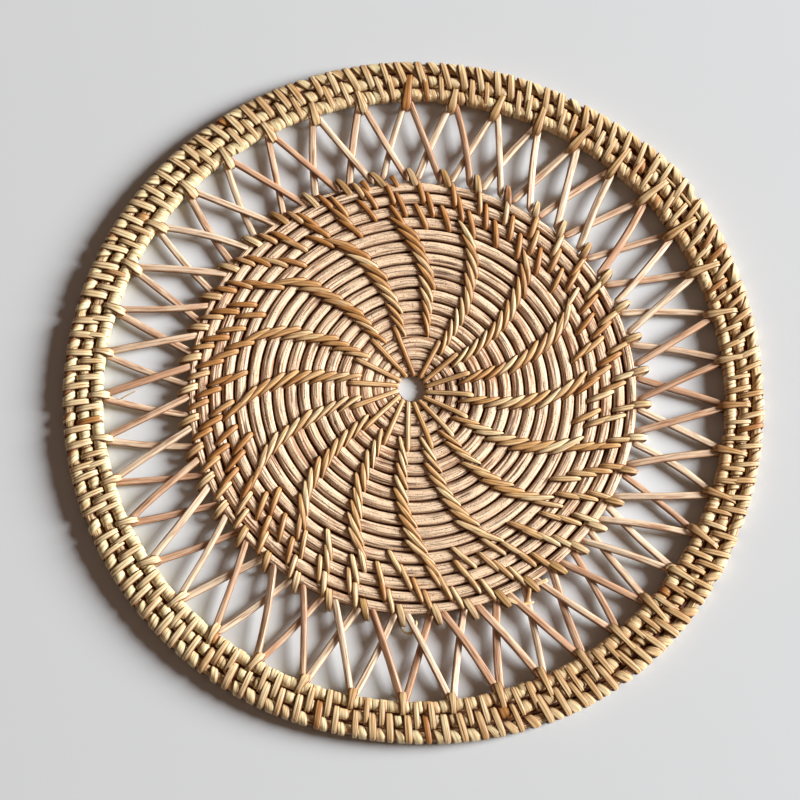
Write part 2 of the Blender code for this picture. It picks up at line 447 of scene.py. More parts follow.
class Socket:
    """A shader socket that adds Math nodes when it is used in an expression."""

    def __init__(self, finish, socket):
        self.finish = finish
        self.socket = socket

    def math(self, operation, *others):
        return self.finish.add("ShaderNodeMath", {"operation": operation}, self, *others)

    def __add__(self, other):
        return self.math("ADD", other)

    def __sub__(self, other):
        return self.math("SUBTRACT", other)

    def __rsub__(self, other):
        return self.finish.add("ShaderNodeMath", {"operation": "SUBTRACT"}, other, self)

    def __mul__(self, other):
        return self.math("MULTIPLY", other)

    __radd__ = __add__
    __rmul__ = __mul__

    def ramp(self, low, high):
        """Nought below low, one above high, smooth between."""
        return self.finish.add("ShaderNodeMapRange", {"interpolation_type": "SMOOTHSTEP"}, self, low, high)


class Finish:
    """One material and the nodes that are added to it."""

    def __init__(self, name):
        self.material = bpy.data.materials.new(name)
        self.material.use_nodes = True
        self.tree = self.material.node_tree
        self.shader = self.tree.nodes["Principled BSDF"]

    def join(self, value, socket):
        if isinstance(value, Socket):
            self.tree.links.new(value.socket, socket)
        elif socket.type == "RGBA":
            socket.default_value = (*value, 1.0)
        else:
            socket.default_value = value

    def add(self, kind, settings, *values, output=0, **named):
        node = self.tree.nodes.new(kind)
        for label, value in settings.items():
            setattr(node, label, value)
        for place, value in enumerate(values):
            self.join(value, node.inputs[place])
        for label, value in named.items():
            self.join(value, node.inputs[label])
        return Socket(self, node.outputs[output])

    def blend(self, first, second, factor):
        mixed = self.add("ShaderNodeMix", {"data_type": "RGBA"}, factor, output=2)
        self.join(first, mixed.socket.node.inputs[6])
        self.join(second, mixed.socket.node.inputs[7])
        return mixed

    def attribute(self, label):
        return self.add("ShaderNodeAttribute", {"attribute_name": label}, output=2)

    def lay(self):
        """Centimetres along the strand, and the share of the way round it from underneath."""
        place = self.add("ShaderNodeUVMap", {"uv_map": "lay"})
        along = self.add("ShaderNodeSeparateXYZ", {}, place)
        return along, Socket(self, along.socket.node.outputs[1])

    def noise(self, x, y, z, detail=2.0):
        where = self.add("ShaderNodeCombineXYZ", {}, x, y, z)
        return self.add("ShaderNodeTexNoise", {}, Vector=where, Scale=1.0, Detail=detail)

    def place(self):
        """Metres from the mat's middle."""
        return self.add("ShaderNodeTexCoord", {}, output=3)

    def cloud(self, scale):
        """Noise that is even over the whole mat, whichever way a strand lies."""
        return self.add("ShaderNodeTexNoise", {}, Vector=self.place(), Scale=scale)

    def dress(self, base, rough, height, strength, distance):
        bump = self.add("ShaderNodeBump", {}, Strength=strength, Distance=distance, Height=height)
        self.join(base, self.shader.inputs["Base Color"])
        self.join(rough, self.shader.inputs["Roughness"])
        self.join(bump, self.shader.inputs["Normal"])
        return self.material


def reed_finish(name, light, tan, brown, crease):
    """Dry reed: fine grooves along it, pores, paler bands, and painted shade in dark brown down its sides."""
    finish = Finish(name)
    along, round_it = finish.lay()
    shade = finish.attribute("shade")
    fibre = finish.attribute("fibre")
    ripe = finish.attribute("ripe")
    clouds = finish.cloud(60.0)
    streaks = finish.noise(along * 0.45, round_it * 17.0, shade * 40.0)
    lines = finish.noise(along * 0.9, round_it * 40.0, shade * 23.0 + 5.0, detail=1.0)
    pores = finish.noise(along * 15.0, round_it * 24.0, shade * 9.0, detail=1.0)
    turned = (round_it * TURN).math("COSINE")
    pale = streaks + fibre * 0.15 + clouds * 0.6 - ripe * 0.12 - 0.22
    base = finish.blend(tan, light, pale.ramp(0.26, 0.52))
    base = finish.blend(base, brown, streaks.ramp(0.44, 0.35) * (ripe * 0.35 + 0.4))
    base = finish.blend(base, crease, lines.ramp(0.43, 0.36) * 0.6)
    base = finish.blend(base, crease, fibre.ramp(-0.4, -0.95) * 0.8)
    base = finish.blend(base, crease, pores.ramp(0.62, 0.7) * 0.6)
    # painted shade: brown and then dark red brown down the sides of each round, where the creases between the
    # rounds lie, faded out again underneath
    side = turned.ramp(0.85, 0.4)
    base = finish.blend(base, brown, turned.ramp(-0.78, -0.3) * side * 0.55)
    base = finish.blend(base, crease, turned.ramp(-0.5, -0.05) * side * 0.97)
    rough = 0.75 - streaks * 0.25
    return finish.dress(base, rough, streaks + lines * 0.5 - pores * 0.3, 0.7, 0.0006)


def cane_finish(name, colours, plain, pale, ripe, edge=0.9, brown=None):
    """Split cane: lengthwise fibres, a slight sheen, plain to pale, some strands ripened, and painted shade
    down its sides.

    edge is how strong the painted shade down the sides is, and brown is the first colour of that painted
    shade.
    """
    brown, crease = brown or colours.brown, colours.crease
    finish = Finish(name)
    along, round_it = finish.lay()
    shade = finish.attribute("shade")
    fibre = finish.attribute("fibre")
    ripeness = finish.attribute("ripe")
    streaks = finish.noise(along * 0.7, round_it * 11.0, shade * 50.0)
    lines = finish.noise(along * 1.1, round_it * 30.0, shade * 29.0 + 3.0, detail=1.0)
    patches = finish.noise(along * 1.6, round_it * 3.0, shade * 31.0 + 7.0)
    turned = (round_it * TURN).math("COSINE")
    paleness = patches * 0.7 + shade * 0.6 + streaks * 0.6 + fibre * 0.15 - 0.45
    base = finish.blend(plain, pale, paleness.ramp(0.2, 0.8))
    base = finish.blend(base, ripe, (ripeness + patches * 0.8 + streaks * 0.5 - 0.65).ramp(0.2, 0.9))
    base = finish.blend(base, ripe, streaks.ramp(0.46, 0.36) * 0.6)
    base = finish.blend(base, crease, lines.ramp(0.38, 0.30) * 0.4)
    base = finish.blend(base, crease, turned.ramp(-0.97, -0.995) * 0.45 * edge)
    # painted shade: brown and then dark red brown down the cane's sides, as strong as edge, faded out again
    # underneath
    side = turned.ramp(0.85, 0.4) * edge
    base = finish.blend(base, brown, turned.ramp(-0.85, -0.45) * side * 0.75)
    base = finish.blend(base, crease, turned.ramp(-0.6, -0.1) * side)
    rough = 0.6 - patches * 0.3
    return finish.dress(base, rough, streaks + lines * 0.5, 0.5, 0.0004)


# painted shade: the red brown finish of the dark strands laid in the creases, darker down their sides
def crease_shade_finish(name, colours):
    return reed_finish(name, colours.seam, colours.seam, colours.crease, colours.crease)


def floor_finish(name, pale):
    """A matt floor, slightly clouded, and with painted light inside the rim, brighter there for light bounced
    off the mat.
    """
    finish = Finish(name)
    clouded, bounce_lit = (tuple(share * part for part in pale) for share in (0.97, 1.16))
    away = finish.add("ShaderNodeVectorMath", {"operation": "LENGTH"}, finish.place(), output=1)
    # painted light: the floor is brighter within 115 mm of the middle, fading out before the rim, for light
    # bounced off the mat
    inside = away.ramp(133 * MM, 115 * MM)
    base = finish.blend(finish.blend(pale, clouded, finish.cloud(3.0)), bounce_lit, inside)
    finish.join(base, finish.shader.inputs["Base Color"])
    finish.join(0.9, finish.shader.inputs["Roughness"])
    return finish.material


def share_of_turn(sizes, angle):
    """How far past the spiral's start an angle is, from 0 to 1, going clockwise as the reed does."""
    return ((sizes.start - angle) % TURN) / TURN


def disc_edge(sizes, turns):
    """Outer radius of the round that ends at this many turns."""
    return np.clip(sizes.first_round + sizes.pitch * turns, sizes.hole + 0.1 * MM, sizes.edge)


def disc_centre(sizes, radius):
    """The rounds near the hole run round the hole, and those further out round the mat's middle."""
    inwards = 1 - smooth_step(radius, sizes.hole, sizes.even_from)
    return sizes.hole_x * inwards, sizes.hole_y * inwards


def on_disc(sizes, angle, radius, height):
    """A point of the disc, which is thinner near the hole."""
    thinner = sizes.thin + (1 - sizes.thin) * smooth_step(radius, 0.8 * sizes.hole, 4.6 * sizes.hole)
    return around(angle, radius, height * thinner, disc_centre(sizes, radius))


def arm_angle(sizes, arm, radius):
    share = np.maximum(radius - sizes.arm_from, 0.0) / sizes.arm_run
    return sizes.first_arm + arm * TURN / sizes.arms + sizes.arm_curl * share**1.8


def node_angle(sizes, number):
    even = sizes.first - number * TURN / sizes.nodes
    drift = sizes.drift
    for waves, size, crest in NODE_DRIFT:
        drift += math.radians(size) * math.cos(waves * (even - math.radians(crest)))
    return even + drift


def outline_swell(angle):
    total = np.zeros_like(angle)
    for at, spread, outwards in OUTLINE_SWELLS:
        total += outwards * MM * np.exp(-((degrees_past(angle, at) / spread) ** 2) / 2)
    return total


def on_rim(sizes, angle, radius, height):
    share = (radius - sizes.inner) / (sizes.outer - sizes.inner)
    angle = np.asarray(angle, float)
    inside = sizes.inner_shift * np.maximum(-np.cos(angle), 0.0) ** 1.5
    swell = share * outline_swell(angle) + (1 - share) * inside
    return around(angle, radius + swell, height, (sizes.centre_x, sizes.centre_y))


def belt(place, angle, inner, outer, lean, middle, reach, steps):
    """A stitch right round the rounds between two radii: its line, and the way that its face looks.

    place(angle, radius, height) gives a point of the mat. The stitch leans so that its outer end lies
    at the higher angle, by lean in all.
    """
    round_it = np.linspace(0.0, TURN, steps + 1)
    half = (outer - inner) / 2
    end = min(reach, half)
    straight = (half - end) * np.clip(1.6 * np.cos(round_it), -1, 1)
    offset = straight + end * np.cos(round_it)
    rise = np.sign(np.sin(round_it)) * np.abs(np.sin(round_it)) ** ARCH * reach
    radius = (inner + outer) / 2 + offset
    turned = angle + lean / 2 * offset / half
    line = place(turned, radius, middle + rise)
    line[-1] = line[0]
    outwards = around(turned, 1.0, 0.0)
    face = outwards * np.cos(round_it)[:, None] + UP * np.sin(round_it)[:, None]
    return round_it, line, face


def disc_reed(sizes):
    """The spiral from the hole to its thinned end, with closer stations where it bends most."""
    fine = np.linspace(0.02, sizes.turns, 4000)
    wanted = np.maximum(FEWEST_STEPS, TURN * disc_edge(sizes, fine) / REED_STEP)
    passed = np.concatenate([[0.0], np.cumsum((wanted[1:] + wanted[:-1]) / 2 * np.diff(fine))])
    turns = np.interp(np.linspace(0.0, passed[-1], int(passed[-1]) + 1), passed, fine)
    angle = sizes.start - turns * TURN
    inner = np.where(turns < 1, sizes.hole, disc_edge(sizes, turns - 1))
    outer = disc_edge(sizes, turns)
    slim = 1 - 0.12 * smooth_step(turns, 16.2, 16.6)
    snug = 1.07 - 0.07 * smooth_step(outer, 0.03, 0.05)
    width = np.minimum((outer - inner) / 2, sizes.reed_width * snug) * slim
    ends = smooth_step(turns, 0.0, 0.25) * (1 - smooth_step(turns, sizes.turns - 0.06, sizes.turns))
    wander = 0.12 * MM * np.sin(angle * 7.3) + 0.1 * MM * np.sin(angle * 2.17 + 1.0)
    height = sizes.middle + wander
    line = on_disc(sizes, angle, (inner + outer) / 2, height)
    height_share = np.minimum(1.0, width / sizes.reed_width * 1.3) * line[:, 2] / height
    inside = 1 - smooth_step(outer, 0.03, 0.06)
    outside = smooth_step(outer, 0.075, 0.088)
    # the cos(2 angle) term is painted light: the reed paler at the top and bottom of the mat, where its
    # rounds run along the light and catch it only at a grazing angle, and riper and browner at the left and
    # right; the inside and outside terms are the reed's own tone
    ripe = 0.5 + 0.5 * np.cos(2 * angle) + 0.7 * inside + 0.2 * outside
    thick = sizes.reed_height * height_share * ends
    return Strand(line, UP, width * ends, thick, ripe=ripe, relief=0.28 * MM)


def disc_seam(sizes):
    """A dark red brown strand down in the crease between the rounds, as one run beside the reed: painted
    shade, standing in for the shade that falls in the crease.
    """
    turns = np.arange(1.0, sizes.turns, 1 / CREASE_SHADE_STEPS)
    angle = sizes.start - turns * TURN
    line = on_disc(sizes, angle, disc_edge(sizes, turns - 1), 0.64 * sizes.middle)
    return Strand(line, UP, 0.9 * MM, 0.45 * line[:, 2])


def leaf_shares(round_it):
    """Width of a leaf along its stitch: pointed at the outer end, broad past the middle."""
    return np.interp(np.cos(round_it), (-1.0, -0.6, 0.1, 0.75, 1.0), (0.4, 0.9, 1.0, 0.5, 0.2))


def finger_shares(round_it):
    """Width of a finger along its stitch: even, and rounded at the outer end."""
    return np.interp(np.cos(round_it), (-1.0, -0.6, 0.3, 0.85, 1.0), (0.8, 1.0, 0.95, 0.72, 0.5))


def disc_stitch(sizes, angle, row, lean, half_widths, shares, ripe, spread, random):
    """A stitch over the two rounds that end at this turn.

    half_widths are its least and its most, shares gives its width from end to end, and its ripeness
    is spread by so much.
    """
    inner = disc_edge(sizes, row - 2) + 0.2 * MM
    outer = disc_edge(sizes, row) + 0.1 * MM
    round_it, line, face = belt(partial(on_disc, sizes), angle, inner, outer, lean, sizes.middle,
                                STITCH_REACH, STITCH_STEPS)
    width = random.uniform(*half_widths) * MM * shares(round_it)
    ripe = np.clip(random.normal(ripe, spread), 0, 1)
    return Strand(line, face, width, STITCH_THICK, random.uniform(0, 1), ripe, random.uniform(0, 1))


def arm_stitch(sizes, arm, row, random):
    """One leaf of an arm. Its tip lies in the crease outside the round that ends at this turn."""
    radius = disc_edge(sizes, row)
    tip = arm_angle(sizes, arm, radius) + random.normal(0, 0.006)
    lean = sizes.arm_lean * random.uniform(0.9, 1.1)
    slim = 0.7 + 0.3 * smooth_step(radius, 0.03, 0.06)
    ripe = 0.2 + 0.3 * facing(tip, 120.0)
    return disc_stitch(sizes, tip - lean / 2, row, lean, (1.55 * slim, 1.8 * slim), leaf_shares, ripe,
                       0.15, random)


def arm_rows(sizes):
    """Each arm's stitches in the order in which the spiral is sewn: the arm and the turn."""
    for arm in range(sizes.arms):
        start = share_of_turn(sizes, arm_angle(sizes, arm, sizes.arm_from))
        row = start
        while row < sizes.last_row:
            if row >= sizes.first_row + 1:
                yield arm, row
            row += 1


def middle_stitch(sizes, arm, random):
    """A long first stitch, from inside the hole out over the first rounds."""
    share = share_of_turn(sizes, arm_angle(sizes, arm, sizes.arm_from))
    row = share + 3 if share + 3 >= sizes.first_row else share + 4
    radius = disc_edge(sizes, row)
    tip = arm_angle(sizes, arm, radius)
    lean = math.radians(8.0 + 19.0 * bell(degrees_past(tip, 112.0), 20.0))
    hole_end = on_disc(sizes, tip - lean, sizes.hole, 0.0)
    outer_end = on_disc(sizes, tip, radius, 0.0)

    def place(angle, at, height):
        share = ((at - sizes.hole) / (radius - sizes.hole))[:, None]
        line = hole_end + (outer_end - hole_end) * share
        line[:, 2] = on_disc(sizes, angle, at, height)[:, 2]
        return line

    inner, reach = sizes.hole + 0.1 * MM, 2.65 * MM
    round_it, line, face = belt(place, tip - lean / 2, inner, radius, lean, sizes.middle, reach, FIRST_STEPS)
    outwards = (np.cos(round_it) + 1) / 2
    width = (1.05 + 0.3 * outwards - 0.5 * smooth_step(outwards, 0.85, 1.0)) * MM
    ripe = np.clip(random.normal(0.32 + 0.12 * math.sin(tip), 0.12), 0, 1)
    return Strand(line, face, width, 0.5 * MM, random.uniform(0, 0.6), ripe, random.uniform(0, 1))


def even_angles(sizes, count):
    """The angles of so many evenly spaced stitches, clockwise from the spiral's start."""
    return (sizes.start - (number + 0.5) / count * TURN for number in range(count))


def last_turn(sizes, angle):
    """The turn at which the outermost round passes this angle."""
    share = share_of_turn(sizes, angle)
    whole, rest = divmod(sizes.turns, 1.0)
    return share + (whole if share < rest else whole - 1)


def edge_stitches(sizes, lattice, random):
    """The close rows past the arms' ends, the last two of them between the lattice's loops."""
    for angle in even_angles(sizes, sizes.close):
        if not ARM_FILLED[0] <= share_of_turn(sizes, angle) < ARM_FILLED[1]:
            yield edge_stitch(sizes, angle, *CLOSE_ROW, random)
    for angle in even_angles(sizes, sizes.closer):
        yield edge_stitch(sizes, angle, *CLOSER_ROW, random)
    for number in range(lattice.nodes):
        node = node_angle(lattice, number)
        angle = node - math.radians(3.3 - 1.2 * math.cos(node))
        yield edge_stitch(sizes, angle, *OUTERMOST_ROW, random)
        yield edge_stitch(sizes, angle - math.radians(3.1), *LOOP_ROW, random)


def edge_stitch(sizes, angle, rounds_in, lean_degrees, riper, random):
    """A stitch of a close row, so many rounds in from the outermost."""
    row = last_turn(sizes, angle) - rounds_in
    lean = math.radians(lean_degrees * random.uniform(0.85, 1.15))
    middle = angle + random.normal(0, 0.006)
    ripe = 0.24 + 0.5 * facing(angle, 130.0) + riper
    return disc_stitch(sizes, middle, row, lean, (1.3, 1.55), finger_shares, ripe, 0.14, random)


def lattice_strand(sizes, rim, disc, rim_step, disc_step, number, random):
    """A strand from a rim loop to the disc loop beside its own, over or under the one that it crosses."""
    side = disc_step - rim_step
    rim_angle = node_angle(sizes, number + rim_step) - math.radians(-0.1 if side > 0 else -0.4)
    disc_angle = loop_angle(sizes, number + disc_step) + math.radians(1.2 if side > 0 else -1.1)
    disc_angle += random.normal(0, 0.004)
    share = np.linspace(0.0, 1.0, STRAND_STEPS + 1)
    start = on_rim(rim, rim_angle, rim.inner + 1.6 * MM, 0.0)
    end = on_disc(disc, disc_angle, disc.edge - 2.4 * MM, 0.0)
    line = start + (end - start) * share[:, None]
    sideways = unit(np.cross(end - start, UP))
    line += sideways * (np.sin(share * math.pi) * random.normal(0.3, 0.5) * MM)[:, None]
    crossing = sizes.over if side > 0 else sizes.under
    swell = np.sin(share * math.pi) ** 0.8
    ends = 3.1 * MM
    line[:, 2] = ends + (crossing - ends) * swell + 0.4 * MM * (share > 0.5) * (share - 0.5)
    roll = sideways * random.normal(0.0, 0.16)
    width = sizes.strand_width * random.uniform(0.92, 1.12)
    return Strand(line, UP + roll, width, sizes.strand_thick, random.uniform(0, 1),
                  np.clip(random.normal(0.1, 0.12), 0, 1), random.uniform(0, 1), 0.12 * MM)


def pinch_ends(strand):
    """Closes both ends of an open strand to a point."""
    strand.width = strand.width.copy()
    strand.thick = strand.thick.copy()
    strand.width[[0, -1]] = 0.0
    strand.thick[[0, -1]] = 0.0
    return strand


def loop_angle(sizes, number):
    """Where the disc's loops are: a little clockwise of the rim's."""
    node = node_angle(sizes, number)
    return node - math.radians(0.8 + 1.3 * bell(degrees_past(node, 330.0), 12.0))


def disc_loop(sizes, disc, number, random):
    """The binding that holds two strands' ends: round the outermost rounds and out past the edge."""
    angle = loop_angle(sizes, number)
    top = bell(degrees_past(angle, 98.0), 14.0)
    lean = 1.9 + 0.9 * top - 0.8 * max(math.cos(angle), 0) ** 4
    lean = math.radians(lean * random.uniform(0.8, 1.2))
    inner = disc.edge - random.uniform(3.8, 4.6) * MM - top * MM
    outer = disc.edge + (random.uniform(3.9, 4.6) - 0.7 * top) * MM
    middle, reach = 2.9 * MM, 2.75 * MM
    round_it, line, face = belt(partial(on_disc, disc), angle, inner, outer, lean, middle, reach, LOOP_STEPS)
    outwards = smooth_step(np.cos(round_it), 0.2, 1.0)
    line[:, 2] -= np.maximum(np.sin(round_it), 0) * outwards * 0.9 * MM
    width = random.uniform(1.6, 1.9) * MM * np.interp(np.cos(round_it), (-1.0, 0.0, 1.0), (0.9, 1.0, 0.6))
    ripe = np.clip(random.normal(0.3, 0.15), 0, 1)
    return Strand(line, face, width, 0.5 * MM, random.uniform(0, 0.9), ripe, random.uniform(0, 1))


def rim_loop(sizes, rim, number, random):
    """A longer stitch of the inner row, which comes in past the rim to hold two strands."""
    angle = node_angle(sizes, number) + math.radians(0.2)
    lean = math.radians(random.normal(-0.1, 0.5))
    long = max(smooth_step(math.cos(angle), 0.1, 0.6), ripe_spot("rim_loops", angle) > 0.5)
    top = max(math.sin(angle), 0.0)
    outer = rim.inner + (6.4 + 5.5 * long) * MM
    inner = rim.inner - (random.uniform(2.2, 3.2) + 1.2 * top) * MM
    reach = 3.25 * MM
    round_it, line, face = belt(partial(on_rim, rim), angle, inner, outer, lean, rim.middle, reach,
                                LOOP_STEPS)
    inwards = smooth_step(-np.cos(round_it), 0.3, 1.0)
    line[:, 2] -= np.maximum(np.sin(round_it), 0) * inwards * 1.2 * MM
    swell = bell(np.cos(round_it) + 0.5, 0.4)
    width = (random.uniform(1.15, 1.4) + 0.25 * top + swell * random.uniform(0.6, 0.85)) * MM
    shade, ripe = rim_tone(angle, random)
    ripe = max(ripe, ripe_spot("rim_loops", angle))
    return Strand(line, face, width, 0.55 * MM, shade, ripe, random.uniform(0, 1))


def loose_end(half_width, ripe, *points):
    """A short end of cane that lies over the rest, on a smooth line through its points."""
    angles, radii, heights = np.array(points).T
    knots = np.linspace(0.0, 1.0, len(points))
    share = np.linspace(0.0, 1.0, END_STEPS + 1)
    angle, radius, height = (np.polyval(np.polyfit(knots, values, len(points) - 1), share)
                             for values in (np.radians(angles), radii * MM, heights * MM))
    line = around(angle, radius, height)
    width = half_width * MM * (1 - 0.3 * share)
    return pinch_ends(Strand(line, UP, width, 0.5 * MM, 0.8 - 0.5 * ripe, ripe, angle[0]))


def rim_rounds(rim):
    pitch = (rim.outer - rim.inner) / 3
    return [rim.inner + (number + 0.5) * pitch for number in range(3)]


def rim_core(rim, radius, random):
    angle = np.linspace(0.0, TURN, RIM_STEPS + 1)
    wander = 0.1 * MM * np.sin(angle * 9 + radius * 900) + 0.08 * MM * np.sin(angle * 23)
    line = on_rim(rim, angle, radius + wander, rim.middle)
    line[-1] = line[0]
    lumps = 1 + 0.05 * np.sin(angle * 127) + 0.02 * random.normal(size=RIM_STEPS + 1)
    lumps[-1] = lumps[0]
    width, height = rim.core_width * lumps, rim.core_height * lumps
    return Strand(line, UP, width, height, random.uniform(0.3, 0.7), relief=0.2 * MM)


def rim_crease_shade(rim, radius):
    """A dark red brown strand between two rounds of the rim, below their tops: painted shade in the crease
    between them.
    """
    angle = np.linspace(0.0, TURN, RIM_CREASE_SHADE_STEPS + 1)
    line = on_rim(rim, angle, radius, 0.85 * rim.middle)
    line[-1] = line[0]
    return Strand(line, UP, 1.15 * MM, 1.5 * MM)


def rim_tone(angle, random):
    """How pale and how ripe a stitch of the rim is: tan on the side towards the light, straw on the side away
    from it, partly the cane's own tone and partly painted light.
    """
    # partly painted light: stitches paler on the side of the mat away from the light, brightening that side,
    # and partly the cane's own tone
    pale = 0.15 + 0.85 * facing(angle, 180.0) ** 1.6
    shade = np.clip(0.5 * random.random() + 0.62 * pale, 0, 1.1)
    ripe = np.clip(random.normal(0.34 - 0.3 * pale, 0.14) + 0.8 * (random.random() < 0.02), 0, 1)
    return shade, ripe


def ripe_spot(name, angle):
    """How ripe the few orange brown places of the rim are."""
    total = 0.0
    for row, at, spread, ripe in RIPE_SPOTS:
        if row == name:
            total = max(total, ripe * math.exp(-((degrees_past(angle, at) / spread) ** 4)))
    return total


def rim_lean(angle):
    """How far the rim's stitches lean, most near the end of the coil."""
    coil_end = bell(math.radians(degrees_past(angle, 28.0)), 0.25)
    return math.radians(0.95 + 0.45 * math.cos(angle - math.radians(50.0)) + coil_end)


def inner_angles(lattice):
    """Where the inner row's plain stitches are: two between each pair of loops."""
    angles = []
    for number in range(lattice.nodes):
        here, after = node_angle(lattice, number), node_angle(lattice, number + 1)
        angles += [here + (after - here) * share for share in (0.36, 0.68)]
    return angles


def outer_angles(rim, taken):
    """Where the outer row's stitches are: evenly spaced, then drawn into the gaps of the inner row."""
    taken = np.sort(np.mod(taken, TURN))
    gaps = (taken + np.roll(taken, -1)) / 2
    gaps[-1] = ((taken[-1] + taken[0] + TURN) / 2) % TURN
    for angle in np.arange(rim.stitches) * TURN / rim.stitches:
        away = (gaps - angle + math.pi) % TURN - math.pi
        yield angle + 0.6 * away[np.argmin(np.abs(away))]


def rim_stitch(rim, angle, inner, outer, reach, half_width, lean_share, taper, random):
    """A stitch or a short turn over the rim, narrower by the taper at its two ends."""
    lean = rim_lean(angle) * random.uniform(0.65, 1.35) * lean_share
    inner -= random.uniform(-0.25, 0.35) * MM
    middle = angle + random.normal(0, 0.004)
    round_it, line, face = belt(partial(on_rim, rim), middle, inner, outer, lean, rim.middle, reach,
                                STITCH_STEPS)
    half_width *= random.uniform(0.84, 1.18) * (1.06 + 0.14 * abs(math.sin(angle)) - 0.06 * math.cos(angle))
    width = half_width * (1 - taper + taper * np.abs(np.sin(round_it)))
    shade, ripe = rim_tone(angle, random)
    return Strand(line, face, width, 0.42 * MM, shade, ripe, random.uniform(0, 1))


def rim_row(mat, name, angles, inner, outer, taper, random):
    """One of the rim's rows of stitches or short turns, as its line of RIM_ROWS says."""
    reach, half_width, lean_share = RIM_ROWS[name]
    strands = []
    for angle in angles:
        strand = rim_stitch(mat.rim, angle, inner, outer, reach * MM, half_width * MM, lean_share, taper,
                            random)
        strand.ripe = max(strand.ripe, ripe_spot(name, angle))
        strands.append(strand)
    return strands


class PieceOperator:
    """What every operator of this file shares."""

    bl_options = {"REGISTER", "UNDO"}


class PLACEMAT_OT_disc_reed(PieceOperator, bpy.types.Operator):
    """Coil the disc's reed"""
    bl_idname = "placemat.disc_reed"
    bl_label = "Disc Reed"

    def execute(self, context):
        mat = context.scene.placemat
        colours = mat.colours
        piece = weave("disc_reed", [pinch_ends(disc_reed(mat.disc))], reed_section(24, 3))
        material = reed_finish("reed", colours.reed_light, colours.reed_tan, colours.brown, colours.crease)
        finish_piece(piece, material, "disc_coil")
        # a dark strand down in the crease between the rounds: painted shade
        seam = weave("disc_seam", [pinch_ends(disc_seam(mat.disc))], reed_section(4, 1))
        finish_piece(seam, crease_shade_finish("seam", colours), "disc_coil")
        return {"FINISHED"}


class PLACEMAT_OT_disc_stitches(PieceOperator, bpy.types.Operator):
    """Sew the arms, the long first stitches and the close outer rows"""
    bl_idname = "placemat.disc_stitches"
    bl_label = "Disc Stitches"

    def execute(self, context):
        mat = context.scene.placemat
        colours = mat.colours
        random = np.random.default_rng(12)
        material = cane_finish("disc_cane", colours, colours.gold, colours.straw, colours.ripe)
        arms = [arm_stitch(mat.disc, arm, row, random) for arm, row in arm_rows(mat.disc)]
        middle = [middle_stitch(mat.disc, arm, random) for arm in range(mat.disc.arms) if arm != BARE_ARM]
        edge = list(edge_stitches(mat.disc, mat.lattice, random))
        for name, strands in (("arm_stitches", arms), ("first_stitches", middle), ("edge_stitches", edge)):
            finish_piece(weave(name, strands, leaf_section()), material)
        return {"FINISHED"}


class PLACEMAT_OT_lattice(PieceOperator, bpy.types.Operator):
    """Cross the strands between the disc and the rim and tie them at both ends"""
    bl_idname = "placemat.lattice"
    bl_label = "Lattice"

    def execute(self, context):
        mat = context.scene.placemat
        sizes, colours = mat.lattice, mat.colours
        random = np.random.default_rng(13)
        strands = []
        for number in range(sizes.nodes):
            for steps in ((0, 1), (1, 0)):
                strand = lattice_strand(sizes, mat.rim, mat.disc, *steps, number, random)
                strands.append(pinch_ends(strand))
        strand_material = cane_finish("strand_cane", colours, colours.strand, colours.strand_light,
                                      colours.brown, 0.5)
        piece = weave("lattice_cane", strands, strand_section())
        finish_piece(piece, strand_material, "lattice_strands")
        tie_material = cane_finish("tie_cane", colours, colours.tie, colours.straw, colours.brown)
        rim_material = cane_finish("loop_cane", colours, colours.rim_gold, colours.straw, colours.ripe)
        disc_loops = [disc_loop(sizes, mat.disc, number, random) for number in range(sizes.nodes)]
        rim_loops = [rim_loop(sizes, mat.rim, number, random) for number in range(sizes.nodes)]
        pieces = (("disc_loops", disc_loops, tie_material), ("rim_loops", rim_loops, rim_material))
        for name, loops, material in pieces:
            finish_piece(weave(name, loops, split_section(0.45)), material)
        return {"FINISHED"}


